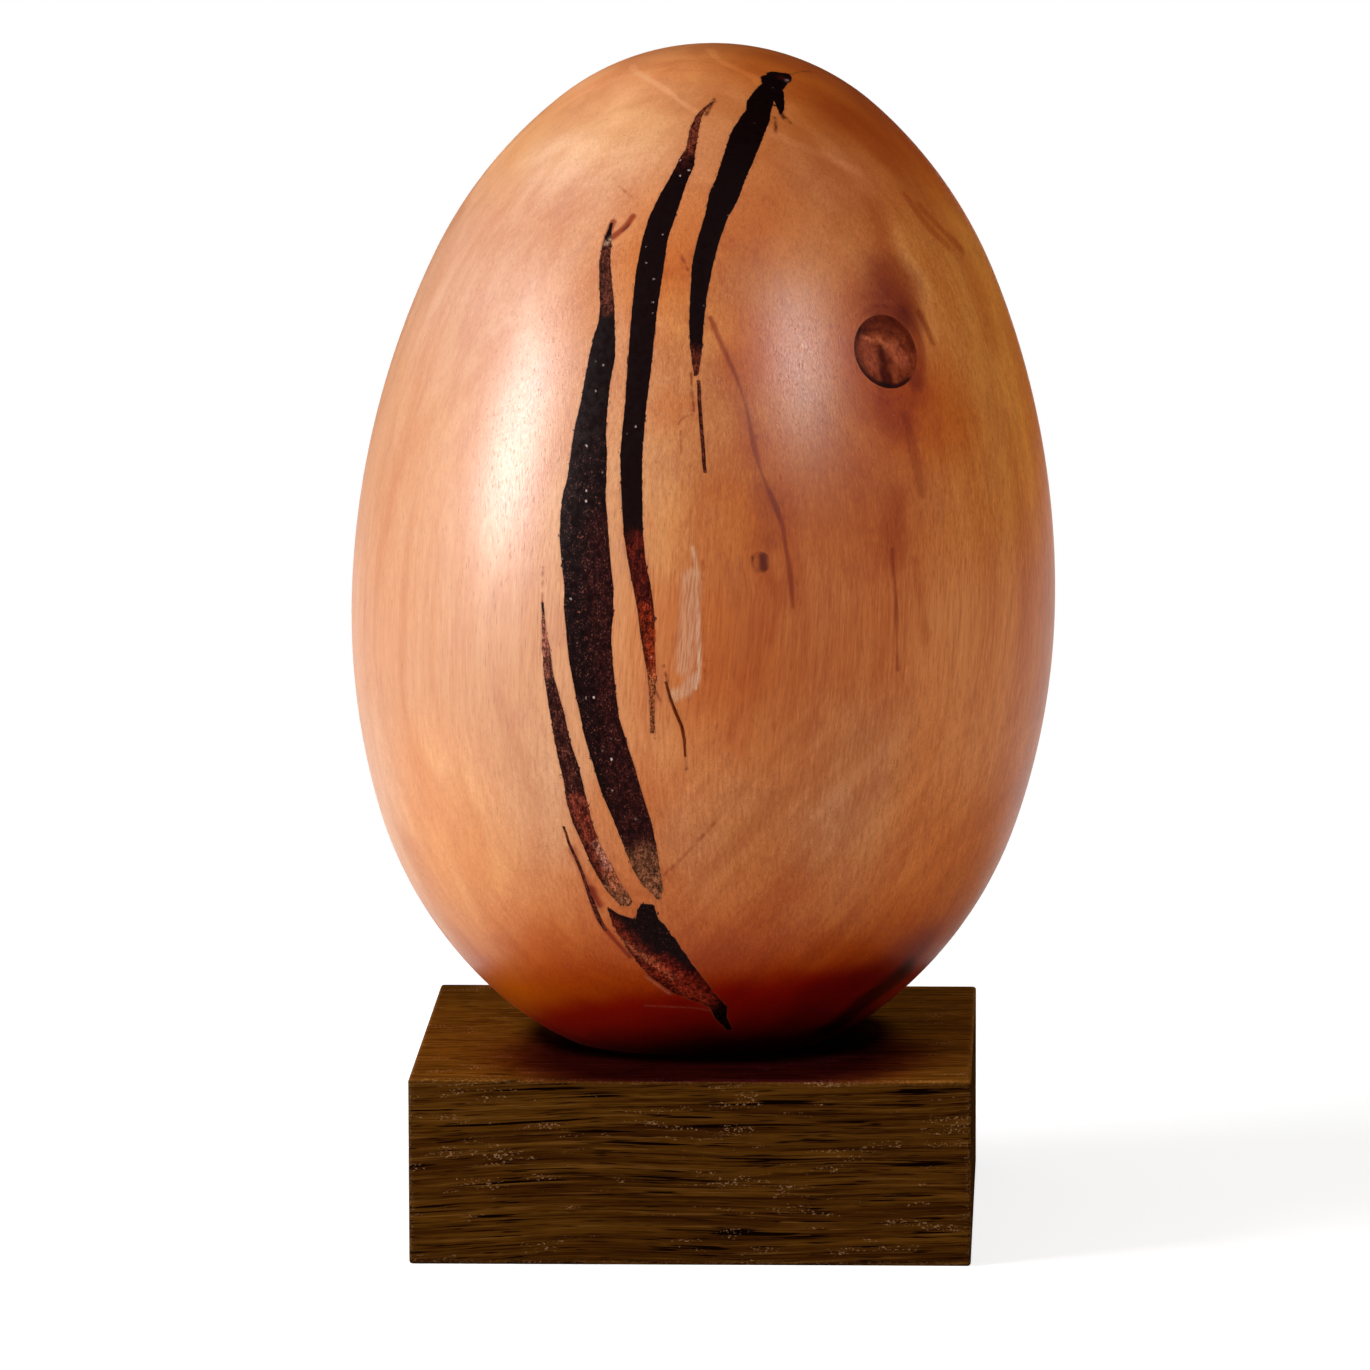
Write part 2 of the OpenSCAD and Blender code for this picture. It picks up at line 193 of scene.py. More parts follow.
# Marks in the wood. Each is a run of places (height share, angle), its half width and its fade in mm,
# and the colour it multiplies by. A colour mark also says how strongly.
BROAD_TONES = [
    ("redder right side", [(0.95, 75), (0.5, 75), (0.2, 70)], 8, 62, (1.08, 0.66, 0.3)),
    ("right rim", [(0.84, 92), (0.7, 88), (0.6, 86)], 2, 20, (1.3, 1.36, 0.9)),
    ("orange crown rim", [(0.985, 60), (0.95, 70), (0.91, 84)], 4, 13, (0.8, 0.56, 0.2)),
    ("light edge of crown", [(0.985, -75), (1, 0), (0.99, 40)], 5, 11, (1.36, 1.6, 2)),
    ("light edge of shoulder", [(0.95, -88), (0.89, -86)], 2, 11, (1.24, 1.35, 1.4)),
    ("right foot of rim", [(0.5, 86), (0.35, 84)], 3, 10, (1, 0.95, 0.25)),
    ("redder middle", [(0.57, 4), (0.45, 6)], 4, 11, (0.86, 0.67, 0.5)),
    ("warm above middle", [(0.79, 4), (0.66, 3)], 2, 10, (0.9, 0.83, 0.72)),
    ("orange between veins", [(0.85, -7), (0.8, -8)], 2, 10, (0.92, 0.72, 0.5)),
    ("deeper between veins", [(0.81, -8)], 1, 5, (0.97, 0.86, 0.7)),
    ("lighter under that", [(0.765, -5), (0.757, 3)], 1, 5, (1.1, 1.18, 1.1)),
    ("light beside middle vein", [(0.6, -4.5), (0.54, -4)], 0.5, 4, (1.12, 1.24, 1.25)),
    ("redder beside middle vein", [(0.679, -5)], 1, 4, (0.97, 0.82, 0.7)),
    ("orange left of main vein", [(0.8, -17), (0.765, -25)], 2, 7, (0.96, 0.86, 0.68)),
    ("redder under light", [(0.725, 11)], 1, 7, (0.97, 0.8, 0.6)),
    ("redder left of knot", [(0.725, 28)], 1, 6, (0.96, 0.8, 0.66)),
    ("redder under knot", [(0.67, 30), (0.67, 44)], 2, 8, (0.97, 0.86, 0.62)),
    ("deeper right of pin knot", [(0.59, 12), (0.585, 22)], 2, 9, (1, 0.93, 0.65)),
    ("pale right of knot's shade", [(0.83, 48.5), (0.795, 46.5)], 1, 4, (1.12, 1.3, 1.45)),
    ("pinker crown at right", [(0.895, 30), (0.895, 42)], 1, 8, (1.02, 1.08, 1.45)),
    ("lighter shoulder at left", [(0.9, -62), (0.92, -40)], 2, 12, (1.11, 1.18, 1.1)),
    # painted highlight: lighter colour where the right lamp's highlight falls
    ("light right of crown vein", [(0.83, 24), (0.75, 21)], 2, 10, (1.1, 1.12, 1.05)),
    ("pale left of knot's shade", [(0.84, 33), (0.79, 31)], 1, 9, (1.06, 1.18, 1.4)),
    ("brown right of crown vein", [(0.9, 13), (0.85, 12)], 1, 7, (0.92, 0.76, 0.6)),
    # painted shade: these two darken the colour beside and under the right highlight, trimming its spread
    ("brown left of light", [(0.75, 10), (0.66, 11)], 1, 6, (0.96, 0.78, 0.6)),
    ("dusk under light", [(0.6, 20), (0.58, 36)], 2, 9, (0.9, 0.82, 0.7)),
    ("paler crown", [(0.915, -38), (0.92, -17), (0.92, -2)], 2, 14, (1.16, 1.5, 2.1)),
    ("ochre shoulder at right", [(0.8, 68), (0.64, 62)], 2, 20, (1.05, 1.42, 1.5)),
    ("brown round knot", [(0.75, 31), (0.7, 36), (0.67, 47)], 2, 12, (0.88, 0.67, 0.5)),
    # painted sheen: these two tones are partly the wood's own pinker colour and partly the pink of the
    # lamp's sheen, painted in
    ("pinker shoulder at left", [(0.86, -45)], 4, 32, (1.08, 1.28, 1.7)),
    ("pinker flank at left", [(0.66, -62), (0.28, -54)], 10, 40, (1.04, 1.22, 1.74)),
    ("lighter low at left", [(0.28, -47), (0.15, -47)], 4, 14, (1.12, 1.06, 0.9)),
    # painted sheen: a pale, pinkish sheen painted on the right haunch
    ("pale haunch at right", [(0.475, 55), (0.35, 57)], 2, 14, (1.08, 1.34, 1.8)),
    ("browner right of middle", [(0.58, 22), (0.4, 17)], 5, 14, (0.98, 0.82, 0.64)),
    ("orange middle", [(0.46, -4), (0.36, -3)], 3, 11, (1, 0.85, 0.7)),
    ("shade at veins' ends", [(0.29, -10), (0.23, -10)], 3, 8, (0.88, 0.68, 0.5)),
    ("orange low middle", [(0.26, 13), (0.22, 14)], 2, 9, (0.95, 0.84, 0.7)),
    ("pale belly", [(0.36, 28), (0.29, 27)], 1, 11, (1.04, 1.28, 1.7)),
    ("orange haunch", [(0.14, -18), (0.14, 8)], 4, 17, (0.94, 0.66, 0.4)),
    ("orange haunch at right", [(0.15, 50), (0.17, 72)], 4, 13, (0.92, 0.78, 0.42)),
    ("orange low at left", [(0.2, -32), (0.19, -55)], 4, 14, (0.97, 0.87, 0.72)),
    # painted shade and reflection: the foot is made deep red and nearly black, where the egg is in shade
    # and mirrors the red-brown block
    ("deep red foot", [(0.003, 30)], 32, 17, (0.64, 0.26, 0)),
    ("red underside", [(0.01, 40)], 27.5, 5.5, (0.68, 0.1, 0.25)),
    ("darkest foot", [(0.005, 50)], 17, 11, (0.14, 0.04, 0.02)),
]
COLOUR_MARKS = [
    ("pale sweep round knot", [(0.95, 28.9), (0.913, 37.7), (0.889, 42.5), (0.863, 45.8), (0.831, 46.9),
     (0.793, 48.5), (0.747, 49.8)], 0.4, 1.6, PALE, 0.65),
    ("dark sweep at right", [(0.964, 43.4), (0.92, 60.6), (0.854, 63.5), (0.799, 69.1), (0.734, 67.3)],
     1, 3.5, RED_BROWN, 0.35),
    ("grain at right shoulder", [(0.861, 59.8), (0.842, 63.5), (0.817, 69.5)], 0.2, 1, RED_BROWN, 0.7),
    ("second grain there", [(0.871, 56.2), (0.846, 58.6), (0.822, 63.3)], 0.2, 0.9, RED_BROWN, 0.7),
    ("pale line at crown", [(0.997, -11.7), (0.979, 18.9), (0.972, 21.2)], 0.2, 0.6, PALE, 1),
    ("second line at crown", [(0.98, -60), (0.967, -26.3), (0.946, -5.9)], 0.15, 0.5, PALE, 0.9),
    ("its right part", [(0.931, 18.4), (0.919, 27.6), (0.907, 35.8), (0.894, 43.9)], 0.3, 0.7, PALE, 0.7),
    ("red line", [(0.764, 1.4), (0.699, 7.3), (0.633, 10.2), (0.579, 14), (0.557, 14.7), (0.533, 15.5),
     (0.498, 16.1)], 0, 0.5, DARK_RED, 0.75),
    ("glow along red line", [(0.72, 5.5), (0.633, 10.2), (0.589, 13.9), (0.505, 15.9)], 0.6, 2.6,
     RED_BROWN, 0.35),
    ("streak over pin knot", [(0.612, 10.6), (0.557, 11.9)], 0.3, 1.8, DARK_RED, 0.35),
    ("curl under pin knot", [(0.529, 12), (0.505, 13.6), (0.467, 12.5)], 0.2, 0.9, RED_BROWN, 0.4),
    ("shade over knot", [(0.79, 40.6), (0.776, 39.6)], 2.2, 4.8, DARK_RED, 0.8),
    ("shade down to ring", [(0.782, 40.5), (0.765, 42.5)], 1.2, 2.8, DARK_RED, 0.4),
    ("shade above that", [(0.865, 44), (0.815, 41.8)], 0.6, 2.6, RED_BROWN, 0.55),
    ("shade beside knot", [(0.765, 42.4), (0.749, 43.5), (0.728, 43.7), (0.708, 42)], 0.8, 1.6, DARK_RED,
     0.7),
    ("rust under knot", [(0.694, 40.5), (0.686, 36), (0.67, 37)], 1.2, 3.2, RED_BROWN, 0.8),
    ("arc over knot", [(0.768, 33), (0.775, 36), (0.772, 39.5)], 0.05, 0.35, DARK_RED, 0.5),
    ("pale arc over knot", [(0.772, 31.5), (0.779, 35), (0.777, 39)], 0.1, 0.5, PALE, 0.6),
    ("arc beside knot", [(0.766, 46.2), (0.75, 47.4), (0.738, 48)], 0.1, 0.7, DARK_RED, 0.6),
    ("pale arc beside knot", [(0.76, 45.3), (0.745, 45.8), (0.725, 45.9)], 0.1, 0.7, PALE, 0.5),
    ("haze left of knot", [(0.77, 31.5), (0.73, 29.5), (0.69, 31)], 1.2, 3.5, RED_BROWN, 0.3),
    ("upper streak", [(0.673, 38.2), (0.637, 39.1), (0.599, 40)], 0.2, 1, DARK_RED, 0.4),
    ("shade over long streak", [(0.6, 35), (0.573, 34.2), (0.54, 34.2)], 0.8, 2.2, RED_BROWN, 0.6),
    ("long streak", [(0.55, 33.6), (0.532, 33.6), (0.509, 34), (0.464, 34.3), (0.436, 34.7)], 0, 0.5,
     DARK_RED, 0.7),
    ("far streak", [(0.539, 37.9), (0.463, 39.8)], 0.3, 1, RED_BROWN, 0.4),
    ("line beside slit", [(0.54, 1.4), (0.43, 2.3)], 0.05, 0.4, RED_BROWN, 0.8),
    ("upper scratch", [(0.878, -23.3), (0.868, -18.7)], 0.05, 0.3, DARK_RED, 0.5),
    ("line beside crown vein", [(0.822, -5.7), (0.807, -3.5)], 0.05, 0.3, DARK_RED, 0.8),
    ("hair under crown vein", [(0.713, -1.7), (0.696, -1.4), (0.679, -0.9)], 0.05, 0.25, DARK_RED, 0.9),
    ("hair arc under it", [(0.666, -3.5), (0.672, -2.7), (0.675, -1.2)], 0.03, 0.25, DARK_RED, 0.8),
    ("hair below that", [(0.66, -3), (0.64, -2.8)], 0.03, 0.25, DARK_RED, 0.6),
    ("thread from crown vein", [(0.978, 44), (0.98, 54.9), (0.979, 66.2)], 0.05, 0.35, THREAD, 0.7),
    ("tip of crown vein's fork", [(0.947, 25.3), (0.942, 25.6)], 0.15, 0.25, NEARLY_BLACK, 0.9),
    ("splinter under fork", [(0.943, 22.2), (0.936, 21.6), (0.93, 20.6)], 0.05, 0.25, THREAD, 0.9),
    ("second splinter there", [(0.943, 26.5), (0.938, 27.5)], 0.05, 0.22, THREAD, 0.8),
    ("line at main vein's end", [(0.224, -6), (0.251, -0.9), (0.289, 4.8)], 0, 0.3, DARK_RED, 0.5),
    ("splinter over main vein", [(0.823, -22.5), (0.837, -22.3), (0.846, -22)], 0.25, 0.4, DARK_RED, 0.95),
    ("second splinter", [(0.832, -21.2), (0.842, -18.8), (0.852, -17.5)], 0.22, 0.4, DARK_RED, 0.95),
    ("third splinter", [(0.838, -19.2), (0.845, -17.8)], 0.05, 0.22, THREAD, 0.8),
    ("middle vein's tip", [(0.944, -2.6), (0.953, -1.1), (0.958, -0.1)], 0.12, 0.3, THREAD, 0.9),
    ("dark line at left vein's top", [(0.525, -25), (0.492, -24.7)], 0.04, 0.25, DARK_RED, 0.8),
    ("wisp at middle vein's end", [(0.417, -5.5), (0.406, -4.6)], 0.05, 0.25, THREAD, 0.8),
    ("second wisp", [(0.407, -6.3), (0.378, -5.5), (0.37, -5.4)], 0.05, 0.25, THREAD, 0.8),
    ("start of split", [(0.44, -4.2), (0.425, -3.6), (0.406, -3.2)], 0.03, 0.25, THREAD, 0.8),
    ("end of split", [(0.357, -0.5), (0.341, -0.2)], 0.03, 0.22, THREAD, 0.8),
    ("red round crack", [(0.254, -20.3), (0.219, -18), (0.194, -15.9)], 0.1, 0.8, DARK_RED, 0.6),
    ("brown over foot vein", [(0.214, -17.6), (0.2, -16.2)], 0.4, 0.8, DARK_RED, 0.9),
    ("crack beside foot vein", [(0.195, -17.6), (0.183, -16.8), (0.166, -14.5), (0.147, -11.5)], 0.15,
     0.5, DARK_RED, 0.9),
    # painted shadow and reflection: the low right haunch is made nearly black and deep red, where it is in
    # shade over the block
    ("painted shadow on haunch", [(0.062, 52), (0.09, 54), (0.115, 60)], 1.6, 2.6, NEARLY_BLACK, 0.9),
    ("painted red shade on haunch", [(0.1, 34), (0.12, 46), (0.14, 58)], 1.5, 6, DARK_RED, 0.7),
]

# Chalky marks: run of places, half width and fade in mm, and how much of the colour they cover
CHALK_MARKS = [
    ("pale slit", [(0.552, -0.2), (0.525, 0.6), (0.474, 1.1)], 0.05, 0.4, 0.5),
    ("lower slit", [(0.49, 1), (0.474, 1.1), (0.437, 1.4), (0.42, 1)], 0.08, 0.35, 0.8),
    ("haze beside slit", [(0.525, -0.2), (0.48, -0.5), (0.44, -1)], 0.5, 1.4, 0.4),
    ("fan under slit", [(0.43, 0.6), (0.418, -0.6), (0.412, -2.4)], 0.3, 1, 0.5),
    ("scratch on foot", [(0.126, -8.6), (0.108, -3.4)], 0.05, 0.3, 0.18),
    ("second scratch on foot", [(0.093, -10), (0.093, 1.5), (0.09, 6.9)], 0.03, 0.3, 0.1),
]

# Marks in the veins, where the colour is added to black gum
GUM_MARKS = {
    "main_vein": [
        ("red top", [(0.82, -22.1), (0.794, -20.2), (0.768, -18.9)], 0.3, 1.2, (0.117, 0.027, 0.0126)),
        ("pale splinter", [(0.826, -22.4), (0.832, -21.2)], 0.15, 0.4, (0.4, 0.24, 0.16)),
        ("tan foot", [(0.244, -6.4), (0.214, -5.6)], 0.6, 4, (0.3, 0.105, 0.045)),
        ("red flecks", [(0.56, -14), (0.42, -11), (0.28, -8)], 2.5, 2, (0.022, 0.0035, 0.0025)),
        ("chip in right edge", [(0.34, -7.6), (0.32, -6.5)], 0.2, 0.8, (0.2, 0.056, 0.016)),
    ],
    "middle_vein": [
        ("brown top", [(0.958, -0.1), (0.944, -2.6), (0.93, -5.9), (0.915, -7.2)], 0.6, 1.4,
         (0.17, 0.035, 0.016)),
        ("dark top", [(0.93, -5.9), (0.905, -8.2)], 0.8, 2.2, (0.035, 0.005, 0.003)),
        ("red middle", [(0.55, -9.6), (0.5, -8.3)], 0.8, 2.4, (0.085, 0.007, 0.003)),
        ("amber end", [(0.492, -7.2), (0.464, -6.3), (0.436, -5.7)], 0.5, 1.2, (0.24, 0.024, 0.005)),
        ("wooden tail", [(0.425, -6), (0.396, -5.9), (0.37, -5.8)], 0.8, 1.4, (0.32, 0.085, 0.026)),
    ],
    "crown_vein": [
        ("red tip", [(0.73, -1.4), (0.713, -0.5)], 0.3, 1.6, (0.13, 0.022, 0.01)),
        ("red corner", [(0.976, 37)], 0.2, 0.8, (0.063, 0.0054, 0.0045)),
        ("pale corner", [(0.974, 38.9)], 0.15, 0.4, (0.45, 0.252, 0.216)),
    ],
    "left_vein": [
        ("pink top", [(0.47, -24.1), (0.431, -22.8)], 0.6, 1.8, (0.3, 0.09, 0.055)),
        ("red brown end", [(0.3, -18.6), (0.257, -15.6), (0.222, -12.4)], 0.6, 1.6, (0.17, 0.024, 0.01)),
        ("mottled body", [(0.41, -22.2), (0.35, -20.6), (0.3, -18.8)], 0.4, 1.4, (0.05, 0.011, 0.007)),
        ("pale patch", [(0.261, -15.3), (0.241, -13.9)], 0.3, 0.8, (0.405, 0.18, 0.117)),
        ("wooden foot", [(0.225, -12.4), (0.208, -10.4)], 0.6, 2, (0.34, 0.12, 0.05)),
    ],
    "foot_vein": [
        ("mottled left", [(0.18, -15.6), (0.16, -12), (0.14, -7.4), (0.118, -0.6), (0.1, 4.6)], 0.6, 2.4,
         (0.18, 0.018, 0.006)),
        ("red middle", [(0.138, -4.2), (0.122, 1), (0.108, 5)], 1, 2, (0.13, 0.007, 0.003)),
        ("tan streak", [(0.166, -13.4), (0.145, -7.6), (0.126, -2.6)], 0.1, 0.7, (0.234, 0.072, 0.027)),
    ],
}

# Colour marks in the large knot and the pin knot, with places in mm across and up from the centre
KNOT_MARKS = [
    ("dark top", [(-3.4, 3.4), (-0.6, 4.4), (2.2, 3.8), (3.9, 2.2), (4.5, 0.6)], 0.3, 1.2,
     (0.42, 0.24, 0.2), 0.85),
    ("dark outline", [(-3.7, 3.3), (-5, 0.4), (-4.4, -2.4), (-2.7, -4.2), (0.2, -5), (3, -4)], 0.15,
     0.55, NEARLY_BLACK, 0.95),
    ("curve in upper half", [(-3, 3), (-0.6, 3.1), (1.8, 2.2), (2.8, 0.4)], 0.1, 0.55, (0.4, 0.28, 0.26),
     0.9),
    ("pale edge", [(-3.6, 2.2), (-2.5, 1.9), (-1.2, 1.7), (0.3, 0.9)], 0.1, 0.4, (2.6, 3.8, 4.4), 0.95),
    ("dark wedge", [(-0.9, 0.3), (-0.9, -1.4), (-0.7, -3.2), (-0.6, -4.2)], 0.35, 0.7, (0.26, 0.13, 0.1),
     0.95),
    ("light strip", [(0.7, -2.2), (0.7, -4)], 0.1, 0.5, (1.5, 1.8, 1.9), 0.8),
    ("pinker right", [(1.3, 0.3), (2.2, -1.2)], 0.6, 1.1, (2.1, 2.8, 3.6), 0.9),
    ("pinker left", [(-2.9, 0.8), (-2.5, -1.4)], 0.5, 1.1, (1.6, 1.9, 2.4), 0.9),
]
PIN_KNOT_MARKS = [
    ("thin mark", [(-0.95, 0.7), (-1, -0.5)], 0, 0.35, THREAD, 0.9),
    ("broad mark", [(0.55, 0.7), (0.65, -0.7)], 0.35, 0.75, THREAD, 0.95),
    ("red between", [(-0.2, 0.9), (0, -1)], 0.3, 0.9, DARK_RED, 0.45),
]


def smoothed(places):
    """A run of places with more of them, on a curve through the ones given."""
    rows = np.array(places, dtype=float)
    if len(rows) < 3:
        return rows
    rows = np.vstack([2 * rows[0] - rows[1], rows, 2 * rows[-1] - rows[-2]])
    curve = []
    for before, start, end, after in zip(rows[:-3], rows[1:-2], rows[2:-1], rows[3:]):
        for t in (0, 0.25, 0.5, 0.75):
            bend = (2 * before - 5 * start + 4 * end - after) * t * t
            turn = (3 * (start - end) + after - before) * t ** 3
            curve.append((2 * start + (end - before) * t + bend + turn) / 2)
    return np.array(curve + [rows[-2]])


def distance_to_run(points, corners):
    """Distance in mm of points in the egg's frame from a line through corners."""
    if len(corners) < 2:
        return np.linalg.norm(points - corners[0], axis=1)
    best = np.full(len(points), 1e6)
    for start, end in zip(corners[:-1], corners[1:]):
        along = end - start
        share = np.clip((points - start) @ along / max(along @ along, 1e-9), 0, 1)
        best = np.minimum(best, np.linalg.norm(points - start - share[:, None] * along, axis=1))
    return best


def fade(distance, half_width, softness):
    """One inside the half width, and smoothly down to zero over the softness."""
    share = np.clip((distance - half_width) / softness, 0, 1)
    return 1 - share * share * (3 - 2 * share)


# Copies of the CAD nodes with close points, so that marks can follow the surface
def merged(node):
    """A CAD node's mesh, open for work, with the corners that its faces share made one."""
    bm = bmesh.new()
    bm.from_mesh(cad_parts[node].data)
    bmesh.ops.remove_doubles(bm, verts=bm.verts, dist=1e-7)
    return bm


def placed(name, data):
    piece = bpy.data.objects.new(name, data)
    bpy.context.collection.objects.link(piece)
    return piece


def worked(name, bm):
    """New object in the scene with the mesh that was worked on."""
    mesh = bpy.data.meshes.new(name)
    bm.to_mesh(mesh)
    bm.free()
    return placed(name, mesh)


def find_skin(bm):
    """Marks the faces on the egg's surface as smooth and all others as flat."""
    bm.faces.ensure_lookup_table()
    centres = to_egg(np.array([face.calc_center_median() for face in bm.faces]))
    normals = turn_about_y(np.array([face.normal for face in bm.faces]), -EGG_LEAN)
    offset, outward = skin_offset(centres)
    on_skin = (np.abs(offset) < SKIN_REACH) & ((normals * outward).sum(axis=1) > SKIN_FACING)
    for face, smooth in zip(bm.faces, on_skin):
        face.smooth = bool(smooth)


def rim_points(bm):
    """Points close together along the outlines where the skin ends, but not at the bore."""
    found = []
    for edge in bm.edges:
        if len({face.smooth for face in edge.link_faces}) == 2:
            start, end = (np.array(vert.co) for vert in edge.verts)
            steps = max(1, int(np.linalg.norm(end - start) / (RIM_STEP * MM)))
            for i in range(steps):
                point = start + (end - start) * i / steps
                if math.hypot(point[0], point[1]) > 2 * PIN_BORE_R * MM:
                    found.append(point)
    return found


def mark_points(least, most):
    """Points along the marks whose half width and fade add up to between two values."""
    found = []
    for name, places, half, soft, *rest in COLOUR_MARKS + CHALK_MARKS:
        if not least < half + soft <= most:
            continue
        curve = smoothed(places)
        for start, end in zip(curve[:-1], curve[1:]):
            found += [from_egg(on_egg(*(start + (end - start) * i / 10))) for i in range(10)]
    return found


def tree_of(points):
    tree = KDTree(len(points))
    for i, point in enumerate(points):
        tree.insert(Vector(point), i)
    tree.balance()
    return tree


plain_egg = merged("egg_body")
find_skin(plain_egg)
fine_tree = tree_of(rim_points(plain_egg) + mark_points(THIN_MARK, FINE_MARK))
plain_egg.free()
thin_tree = tree_of(mark_points(0, THIN_MARK))


def split_long_edges(bm, finest):
    for _ in range(MOST_SPLITS):
        long_edges = []
        for edge in bm.edges:
            length = edge.calc_length() / MM
            if length < min(finest, THIN_SPACING) or not any(face.smooth for face in edge.link_faces):
                continue
            middle = (edge.verts[0].co + edge.verts[1].co) / 2
            if (length > WIDE_SPACING
                    or length > finest and fine_tree.find(middle)[2] < FINE_REACH * MM
                    or length > THIN_SPACING and thin_tree.find(middle)[2] < THIN_REACH * MM):
                long_edges.append(edge)
        if not long_edges:
            break
        bmesh.ops.subdivide_edges(bm, edges=long_edges, cuts=1)
        bmesh.ops.triangulate(bm, faces=[face for face in bm.faces if len(face.verts) > 3])


def close_copy(node, name, finest=FINE_SPACING):
    """Merged copy of a CAD node whose skin has close points, all on the egg's own surface."""
    bm = merged(node)
    find_skin(bm)
    split_long_edges(bm, finest)
    points = to_egg(np.array([vert.co for vert in bm.verts]))
    offset, outward = skin_offset(points)
    moved = from_egg(points - (offset[:, None] + SKIN_INSET) * outward)
    for vert, place in zip(bm.verts, moved):
        if any(face.smooth for face in vert.link_faces):
            vert.co = place
    piece = worked(name, bm)
    # Splitting an edge twice can leave a face stacked on itself, and this takes the spare one out
    piece.data.validate()
    piece.data.update()
    turn_skin_outwards(piece.data)
    return piece


def egg_places(mesh):
    """A mesh's points in the egg's own frame, in mm."""
    return to_egg(np.array([vert.co for vert in mesh.vertices]))


def turn_skin_outwards(mesh):
    """Gives the skin the egg's own directions, so that it shades as one turned surface."""
    offset, outward = skin_offset(egg_places(mesh))
    outward = turn_about_y(outward, EGG_LEAN)
    directions = np.zeros((len(mesh.loops), 3))
    for face in mesh.polygons:
        for loop in face.loop_indices:
            vertex = mesh.loops[loop].vertex_index
            directions[loop] = outward[vertex] if face.use_smooth else face.normal
    mesh.normals_split_custom_set([tuple(row) for row in directions])


def write(piece, name, values):
    """Writes a value or a vector for each point of a piece, for its material to read."""
    kind, field = ("FLOAT_VECTOR", "vector") if values.ndim == 2 else ("FLOAT", "value")
    data = piece.data.attributes.new(name, kind, "POINT").data
    data.foreach_set(field, values.astype(np.float32).ravel())


# The tree's own directions: across the rings, along the rings and along the grain, in mm
RING_WAY = direction(-8)
ALONG_RINGS = direction(82)


def axes_of(place):
    """Directions across and up the surface at a place."""
    across = direction(place[1] + 90)
    return across, np.cross(facing(*place), across)


def bend_round(points, place, radius, reach):
    """Moves grain sideways so that it flows round a knot."""
    across, upward = axes_of(place)
    from_knot = points - on_egg(*place)
    u = from_knot @ across
    v = from_knot @ upward
    rho = u * u + v * v * 0.5
    pull = u * radius * radius / (rho + 0.5 * radius * radius) * np.exp(-rho / (reach * reach))
    return -pull[:, None] * across


def grain_place(points):
    """Where points in the egg's frame lie in the tree, with the grain bent round both knots."""
    bent = points + bend_round(points, KNOT_PLACE, KNOT_R, reach=26)
    bent = bent + bend_round(points, PIN_KNOT_PLACE, PIN_KNOT_R * 0.8, reach=7)
    waves = np.array([noise.noise_vector(Vector(p / GRAIN_WAVE_LENGTH)) for p in points])
    bent = bent + waves * np.array([GRAIN_WAVE, GRAIN_WAVE, 0.0])
    return np.stack([bent @ RING_WAY, bent @ ALONG_RINGS, points[:, 2]], axis=1)


def rough_values(points, size):
    return np.array([noise.noise(Vector(p / size)) for p in points])


def marked(points, marks, corners_of):
    """Product of what the marks multiply the colour by at each point."""
    tint = np.ones((len(points), 3))
    wander = rough_values(points, 4.5)
    ragged = np.clip(0.7 + 1.3 * rough_values(points, 0.8), 0, 1)
    for name, places, half, soft, colour, amount in marks:
        corners = [corners_of(place) for place in smoothed(places)]
        distance = distance_to_run(points, corners) + wander * min(soft, 1.5) * 0.6
        share = fade(distance, half, soft) * amount
        if half + soft < RAGGED_MARK:
            share = share * ragged
        tint *= 1 + share[:, None] * (np.array(colour) - 1)
    return tint


def wood_tint(points):
    tones = [(*tone, 1.0) for tone in BROAD_TONES]
    return marked(points, tones + COLOUR_MARKS, lambda place: on_egg(*place))


def knot_tint(points, centre, marks):
    across, upward = axes_of(centre)
    return marked(points, marks, lambda place: on_egg(*centre) + place[0] * across + place[1] * upward)


def covered(points, mark):
    """How much of a mark lies at each point, from zero to one."""
    name, places, half, soft = mark[:4]
    corners = [on_egg(*place) for place in smoothed(places)]
    return fade(distance_to_run(points, corners), half, soft)


def chalk(points):
    """How much of the wood is covered by pale, chalky marks at each point."""
    return np.max([covered(points, mark) * mark[4] for mark in CHALK_MARKS], axis=0)


def gum_stain(points, marks):
    """Sum of what the marks add to the gum's colour at each point."""
    return sum(covered(points, mark)[:, None] * np.array(mark[4]) for mark in marks)


# Materials
class Mixer:
    """A tree of nodes, with short ways to add and join them."""

    def __init__(self, tree):
        self.tree = tree

    def plug(self, socket, value):
        if isinstance(value, bpy.types.NodeSocket):
            self.tree.links.new(value, socket)
        else:
            socket.default_value = (*value, 1.0) if socket.type == "RGBA" else value

    def node(self, kind, inputs, **settings):
        node = self.tree.nodes.new("ShaderNode" + kind)
        for name, value in settings.items():
            setattr(node, name, value)
        for socket, value in inputs.items():
            self.plug(node.inputs[socket], value)
        return node

    def add(self, kind, inputs, output=0, **settings):
        """Adds a node and gives one of its outputs."""
        return self.node(kind, inputs, **settings).outputs[output]

    def maths(self, operation, first, second):
        return self.add("Math", {0: first, 1: second}, operation=operation)

    def times(self, first, second):
        return self.maths("MULTIPLY", first, second)

    def most(self, first, second):
        return self.maths("MAXIMUM", first, second)


